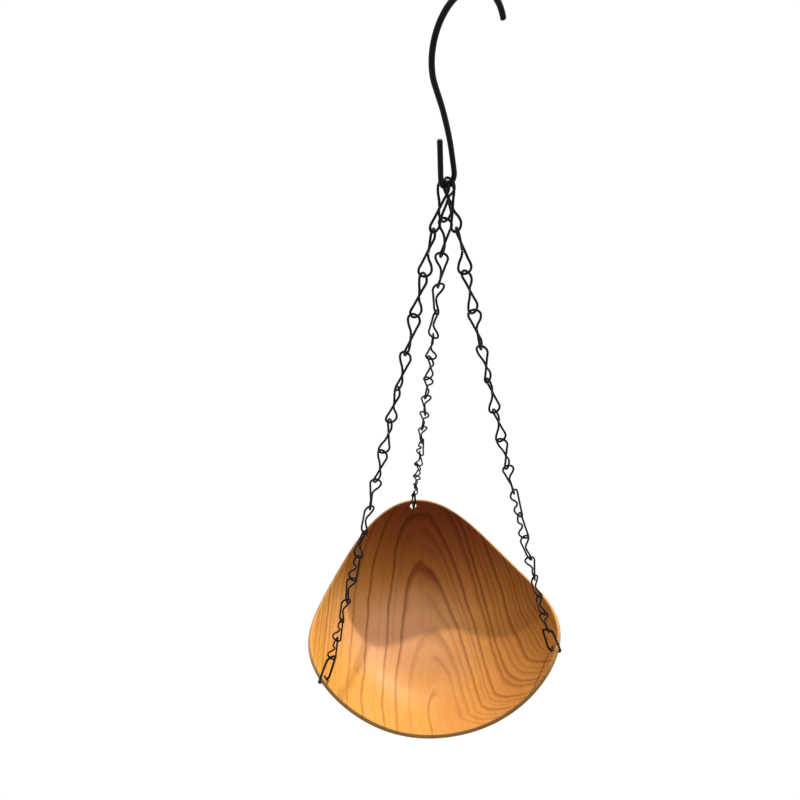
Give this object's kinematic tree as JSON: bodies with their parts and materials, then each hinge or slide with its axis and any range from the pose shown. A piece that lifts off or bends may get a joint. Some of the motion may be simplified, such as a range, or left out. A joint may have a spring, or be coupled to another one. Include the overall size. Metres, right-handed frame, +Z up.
{
  "type": "hanging bird bath",
  "caption": "Thin wooden shell of a dish with raised corners, hung by wire-link chains from one S-hook, to hold water or food for garden birds.",
  "frame": {"origin": "under the top of the S-hook's upper arc, where it rests on what holds the bath", "axes": "+Z up; the picture looks along +Y; one corner of the dish, with the back chain, points 6.4 degrees to the left of +Y"},
  "size_m": [0.2067, 0.2066, 0.498],
  "materials": {
    "wood": "satin varnish over an open cathedral grain",
    "black_wire": "satin black"
  },
  "bodies": {
    "hook": {"s_hook": "black_wire"},
    "dish": {"dish": "wood"},
    "chain_left_link_01": {"chain_left_link_01": "black_wire"},
    "chain_left_link_02": {"chain_left_link_02": "black_wire"},
    "chain_left_link_03": {"chain_left_link_03": "black_wire"},
    "chain_left_link_04": {"chain_left_link_04": "black_wire"},
    "chain_left_link_05": {"chain_left_link_05": "black_wire"},
    "chain_left_link_06": {"chain_left_link_06": "black_wire"},
    "chain_left_link_07": {"chain_left_link_07": "black_wire"},
    "chain_left_link_08": {"chain_left_link_08": "black_wire"},
    "chain_left_link_09": {"chain_left_link_09": "black_wire"},
    "chain_left_link_10": {"chain_left_link_10": "black_wire"},
    "chain_left_link_11": {"chain_left_link_11": "black_wire"},
    "chain_left_link_12": {"chain_left_link_12": "black_wire"},
    "chain_left_link_13": {"chain_left_link_13": "black_wire"},
    "chain_left_link_14": {"chain_left_link_14": "black_wire"},
    "chain_left_link_15": {"chain_left_link_15": "black_wire"},
    "chain_left_link_16": {"chain_left_link_16": "black_wire"},
    "chain_right_link_01": {"chain_right_link_01": "black_wire"},
    "chain_right_link_02": {"chain_right_link_02": "black_wire"},
    "chain_right_link_03": {"chain_right_link_03": "black_wire"},
    "chain_right_link_04": {"chain_right_link_04": "black_wire"},
    "chain_right_link_05": {"chain_right_link_05": "black_wire"},
    "chain_right_link_06": {"chain_right_link_06": "black_wire"},
    "chain_right_link_07": {"chain_right_link_07": "black_wire"},
    "chain_right_link_08": {"chain_right_link_08": "black_wire"},
    "chain_right_link_09": {"chain_right_link_09": "black_wire"},
    "chain_right_link_10": {"chain_right_link_10": "black_wire"},
    "chain_right_link_11": {"chain_right_link_11": "black_wire"},
    "chain_right_link_12": {"chain_right_link_12": "black_wire"},
    "chain_right_link_13": {"chain_right_link_13": "black_wire"},
    "chain_right_link_14": {"chain_right_link_14": "black_wire"},
    "chain_right_link_15": {"chain_right_link_15": "black_wire"},
    "chain_right_link_16": {"chain_right_link_16": "black_wire"},
    "chain_back_link_01": {"chain_back_link_01": "black_wire"},
    "chain_back_link_02": {"chain_back_link_02": "black_wire"},
    "chain_back_link_03": {"chain_back_link_03": "black_wire"},
    "chain_back_link_04": {"chain_back_link_04": "black_wire"},
    "chain_back_link_05": {"chain_back_link_05": "black_wire"},
    "chain_back_link_06": {"chain_back_link_06": "black_wire"},
    "chain_back_link_07": {"chain_back_link_07": "black_wire"},
    "chain_back_link_08": {"chain_back_link_08": "black_wire"},
    "chain_back_link_09": {"chain_back_link_09": "black_wire"},
    "chain_back_link_10": {"chain_back_link_10": "black_wire"},
    "chain_back_link_11": {"chain_back_link_11": "black_wire"},
    "chain_back_link_12": {"chain_back_link_12": "black_wire"},
    "chain_back_link_13": {"chain_back_link_13": "black_wire"},
    "chain_back_link_14": {"chain_back_link_14": "black_wire"},
    "chain_back_link_15": {"chain_back_link_15": "black_wire"},
    "chain_back_link_16": {"chain_back_link_16": "black_wire"},
    "rim_link_left": {"rim_link_left": "black_wire"},
    "rim_link_right": {"rim_link_right": "black_wire"},
    "rim_link_back": {"rim_link_back": "black_wire"}
  },
  "joints": [
    {"name": "dish_swing", "type": "hinge", "parent": "hook", "child": "dish", "pos_m": [-0.00713, -0.00642, -0.072], "axis": [0.7431, 0.6691, 0], "range_deg": [-25, 25]},
    {"name": "left_link_01_twist", "type": "hinge", "parent": "dish", "child": "chain_left_link_01", "pos_m": [-0.01065, -0.0092, -0.08047], "axis": [0.1971, 0.1449, 0.9696], "range_deg": [-4, 4]},
    {"name": "left_link_02_twist", "type": "hinge", "parent": "dish", "child": "chain_left_link_02", "pos_m": [-0.01501, -0.01241, -0.10178], "axis": [0.1997, 0.1468, 0.9688], "range_deg": [-8, 8]},
    {"name": "left_link_03_twist", "type": "hinge", "parent": "dish", "child": "chain_left_link_03", "pos_m": [-0.01943, -0.01566, -0.12307], "axis": [0.2023, 0.1487, 0.968], "range_deg": [-8, 8]},
    {"name": "left_link_04_twist", "type": "hinge", "parent": "dish", "child": "chain_left_link_04", "pos_m": [-0.02391, -0.01895, -0.14435], "axis": [0.2049, 0.1506, 0.9671], "range_deg": [-8, 8]},
    {"name": "left_link_05_twist", "type": "hinge", "parent": "dish", "child": "chain_left_link_05", "pos_m": [-0.02844, -0.02228, -0.1656], "axis": [0.2075, 0.1525, 0.9663], "range_deg": [-8, 8]},
    {"name": "left_link_06_twist", "type": "hinge", "parent": "dish", "child": "chain_left_link_06", "pos_m": [-0.03303, -0.02565, -0.18684], "axis": [0.21, 0.1544, 0.9654], "range_deg": [-8, 8]},
    {"name": "left_link_07_twist", "type": "hinge", "parent": "dish", "child": "chain_left_link_07", "pos_m": [-0.03768, -0.02907, -0.20806], "axis": [0.2126, 0.1563, 0.9646], "range_deg": [-8, 8]},
    {"name": "left_link_08_twist", "type": "hinge", "parent": "dish", "child": "chain_left_link_08", "pos_m": [-0.04238, -0.03252, -0.22926], "axis": [0.2152, 0.1582, 0.9637], "range_deg": [-8, 8]},
    {"name": "left_link_09_twist", "type": "hinge", "parent": "dish", "child": "chain_left_link_09", "pos_m": [-0.04714, -0.03602, -0.25044], "axis": [0.2178, 0.16, 0.9628], "range_deg": [-8, 8]},
    {"name": "left_link_10_twist", "type": "hinge", "parent": "dish", "child": "chain_left_link_10", "pos_m": [-0.05196, -0.03956, -0.2716], "axis": [0.2204, 0.1619, 0.9619], "range_deg": [-8, 8]},
    {"name": "left_link_11_twist", "type": "hinge", "parent": "dish", "child": "chain_left_link_11", "pos_m": [-0.05683, -0.04314, -0.29274], "axis": [0.2229, 0.1638, 0.961], "range_deg": [-8, 8]},
    {"name": "left_link_12_twist", "type": "hinge", "parent": "dish", "child": "chain_left_link_12", "pos_m": [-0.06176, -0.04677, -0.31386], "axis": [0.2255, 0.1657, 0.96], "range_deg": [-8, 8]},
    {"name": "left_link_13_twist", "type": "hinge", "parent": "dish", "child": "chain_left_link_13", "pos_m": [-0.06675, -0.05043, -0.33496], "axis": [0.228, 0.1676, 0.9591], "range_deg": [-8, 8]},
    {"name": "left_link_14_twist", "type": "hinge", "parent": "dish", "child": "chain_left_link_14", "pos_m": [-0.07179, -0.05414, -0.35604], "axis": [0.2306, 0.1695, 0.9582], "range_deg": [-8, 8]},
    {"name": "left_link_15_twist", "type": "hinge", "parent": "dish", "child": "chain_left_link_15", "pos_m": [-0.07689, -0.05789, -0.37709], "axis": [0.2332, 0.1714, 0.9572], "range_deg": [-8, 8]},
    {"name": "left_link_16_twist", "type": "hinge", "parent": "dish", "child": "chain_left_link_16", "pos_m": [-0.08204, -0.06167, -0.39813], "axis": [0.2357, 0.1732, 0.9563], "range_deg": [-8, 8]},
    {"name": "right_link_01_twist", "type": "hinge", "parent": "dish", "child": "chain_right_link_01", "pos_m": [-0.00444, -0.0076, -0.08121], "axis": [-0.2282, 0.0997, 0.9685], "range_deg": [-4, 4]},
    {"name": "right_link_02_twist", "type": "hinge", "parent": "dish", "child": "chain_right_link_02", "pos_m": [0.0006, -0.0098, -0.10248], "axis": [-0.2312, 0.101, 0.9677], "range_deg": [-8, 8]},
    {"name": "right_link_03_twist", "type": "hinge", "parent": "dish", "child": "chain_right_link_03", "pos_m": [0.00571, -0.01204, -0.12373], "axis": [-0.2341, 0.1023, 0.9668], "range_deg": [-8, 8]},
    {"name": "right_link_04_twist", "type": "hinge", "parent": "dish", "child": "chain_right_link_04", "pos_m": [0.01089, -0.0143, -0.14496], "axis": [-0.2371, 0.1036, 0.966], "range_deg": [-8, 8]},
    {"name": "right_link_05_twist", "type": "hinge", "parent": "dish", "child": "chain_right_link_05", "pos_m": [0.01613, -0.01659, -0.16617], "axis": [-0.24, 0.1048, 0.9651], "range_deg": [-8, 8]},
    {"name": "right_link_06_twist", "type": "hinge", "parent": "dish", "child": "chain_right_link_06", "pos_m": [0.02143, -0.0189, -0.18737], "axis": [-0.2429, 0.1061, 0.9642], "range_deg": [-8, 8]},
    {"name": "right_link_07_twist", "type": "hinge", "parent": "dish", "child": "chain_right_link_07", "pos_m": [0.0268, -0.02125, -0.20854], "axis": [-0.2458, 0.1074, 0.9633], "range_deg": [-8, 8]},
    {"name": "right_link_08_twist", "type": "hinge", "parent": "dish", "child": "chain_right_link_08", "pos_m": [0.03223, -0.02362, -0.22969], "axis": [-0.2488, 0.1087, 0.9624], "range_deg": [-8, 8]},
    {"name": "right_link_09_twist", "type": "hinge", "parent": "dish", "child": "chain_right_link_09", "pos_m": [0.03773, -0.02603, -0.25083], "axis": [-0.2517, 0.11, 0.9615], "range_deg": [-8, 8]},
    {"name": "right_link_10_twist", "type": "hinge", "parent": "dish", "child": "chain_right_link_10", "pos_m": [0.04329, -0.02846, -0.27194], "axis": [-0.2546, 0.1112, 0.9606], "range_deg": [-8, 8]},
    {"name": "right_link_11_twist", "type": "hinge", "parent": "dish", "child": "chain_right_link_11", "pos_m": [0.04892, -0.03091, -0.29304], "axis": [-0.2575, 0.1125, 0.9597], "range_deg": [-8, 8]},
    {"name": "right_link_12_twist", "type": "hinge", "parent": "dish", "child": "chain_right_link_12", "pos_m": [0.05461, -0.0334, -0.31411], "axis": [-0.2604, 0.1138, 0.9588], "range_deg": [-8, 8]},
    {"name": "right_link_13_twist", "type": "hinge", "parent": "dish", "child": "chain_right_link_13", "pos_m": [0.06036, -0.03591, -0.33516], "axis": [-0.2634, 0.1151, 0.9578], "range_deg": [-8, 8]},
    {"name": "right_link_14_twist", "type": "hinge", "parent": "dish", "child": "chain_right_link_14", "pos_m": [0.06618, -0.03845, -0.35619], "axis": [-0.2663, 0.1163, 0.9569], "range_deg": [-8, 8]},
    {"name": "right_link_15_twist", "type": "hinge", "parent": "dish", "child": "chain_right_link_15", "pos_m": [0.07206, -0.04102, -0.3772], "axis": [-0.2692, 0.1176, 0.9559], "range_deg": [-8, 8]},
    {"name": "right_link_16_twist", "type": "hinge", "parent": "dish", "child": "chain_right_link_16", "pos_m": [0.07801, -0.04362, -0.39819], "axis": [-0.2721, 0.1189, 0.9549], "range_deg": [-8, 8]},
    {"name": "back_link_01_twist", "type": "hinge", "parent": "dish", "child": "chain_back_link_01", "pos_m": [-0.00631, -0.00247, -0.08047], "axis": [0.0305, -0.2444, 0.9692], "range_deg": [-4, 4]},
    {"name": "back_link_02_twist", "type": "hinge", "parent": "dish", "child": "chain_back_link_02", "pos_m": [-0.00698, 0.00294, -0.10178], "axis": [0.0309, -0.2476, 0.9684], "range_deg": [-8, 8]},
    {"name": "back_link_03_twist", "type": "hinge", "parent": "dish", "child": "chain_back_link_03", "pos_m": [-0.00767, 0.00842, -0.12308], "axis": [0.0313, -0.2507, 0.9675], "range_deg": [-8, 8]},
    {"name": "back_link_04_twist", "type": "hinge", "parent": "dish", "child": "chain_back_link_04", "pos_m": [-0.00836, 0.01397, -0.14435], "axis": [0.0317, -0.2539, 0.9667], "range_deg": [-8, 8]},
    {"name": "back_link_05_twist", "type": "hinge", "parent": "dish", "child": "chain_back_link_05", "pos_m": [-0.00906, 0.0196, -0.16561], "axis": [0.0321, -0.2571, 0.9658], "range_deg": [-8, 8]},
    {"name": "back_link_06_twist", "type": "hinge", "parent": "dish", "child": "chain_back_link_06", "pos_m": [-0.00977, 0.02529, -0.18685], "axis": [0.0325, -0.2603, 0.965], "range_deg": [-8, 8]},
    {"name": "back_link_07_twist", "type": "hinge", "parent": "dish", "child": "chain_back_link_07", "pos_m": [-0.01049, 0.03105, -0.20807], "axis": [0.0329, -0.2635, 0.9641], "range_deg": [-8, 8]},
    {"name": "back_link_08_twist", "type": "hinge", "parent": "dish", "child": "chain_back_link_08", "pos_m": [-0.01122, 0.03688, -0.22927], "axis": [0.0333, -0.2666, 0.9632], "range_deg": [-8, 8]},
    {"name": "back_link_09_twist", "type": "hinge", "parent": "dish", "child": "chain_back_link_09", "pos_m": [-0.01196, 0.04278, -0.25045], "axis": [0.0337, -0.2698, 0.9623], "range_deg": [-8, 8]},
    {"name": "back_link_10_twist", "type": "hinge", "parent": "dish", "child": "chain_back_link_10", "pos_m": [-0.0127, 0.04875, -0.27161], "axis": [0.0341, -0.273, 0.9614], "range_deg": [-8, 8]},
    {"name": "back_link_11_twist", "type": "hinge", "parent": "dish", "child": "chain_back_link_11", "pos_m": [-0.01346, 0.05479, -0.29275], "axis": [0.0345, -0.2761, 0.9605], "range_deg": [-8, 8]},
    {"name": "back_link_12_twist", "type": "hinge", "parent": "dish", "child": "chain_back_link_12", "pos_m": [-0.01422, 0.0609, -0.31387], "axis": [0.0349, -0.2793, 0.9596], "range_deg": [-8, 8]},
    {"name": "back_link_13_twist", "type": "hinge", "parent": "dish", "child": "chain_back_link_13", "pos_m": [-0.01499, 0.06708, -0.33497], "axis": [0.0353, -0.2824, 0.9586], "range_deg": [-8, 8]},
    {"name": "back_link_14_twist", "type": "hinge", "parent": "dish", "child": "chain_back_link_14", "pos_m": [-0.01577, 0.07333, -0.35605], "axis": [0.0357, -0.2856, 0.9577], "range_deg": [-8, 8]},
    {"name": "back_link_15_twist", "type": "hinge", "parent": "dish", "child": "chain_back_link_15", "pos_m": [-0.01656, 0.07964, -0.37711], "axis": [0.0361, -0.2887, 0.9567], "range_deg": [-8, 8]},
    {"name": "back_link_16_twist", "type": "hinge", "parent": "dish", "child": "chain_back_link_16", "pos_m": [-0.01736, 0.08603, -0.39815], "axis": [0.0364, -0.2919, 0.9558], "range_deg": [-8, 8]},
    {"name": "rim_link_left_twist", "type": "hinge", "parent": "dish", "child": "rim_link_left", "pos_m": [-0.0914, -0.06855, -0.43577], "axis": [0.2383, 0.1751, 0.9553], "range_deg": [-8, 8]},
    {"name": "rim_link_right_twist", "type": "hinge", "parent": "dish", "child": "rim_link_right", "pos_m": [0.08881, -0.04834, -0.43577], "axis": [-0.275, 0.1201, 0.9539], "range_deg": [-8, 8]},
    {"name": "rim_link_back_twist", "type": "hinge", "parent": "dish", "child": "rim_link_back", "pos_m": [-0.0188, 0.09762, -0.43577], "axis": [0.0368, -0.295, 0.9548], "range_deg": [-8, 8]}
  ]
}
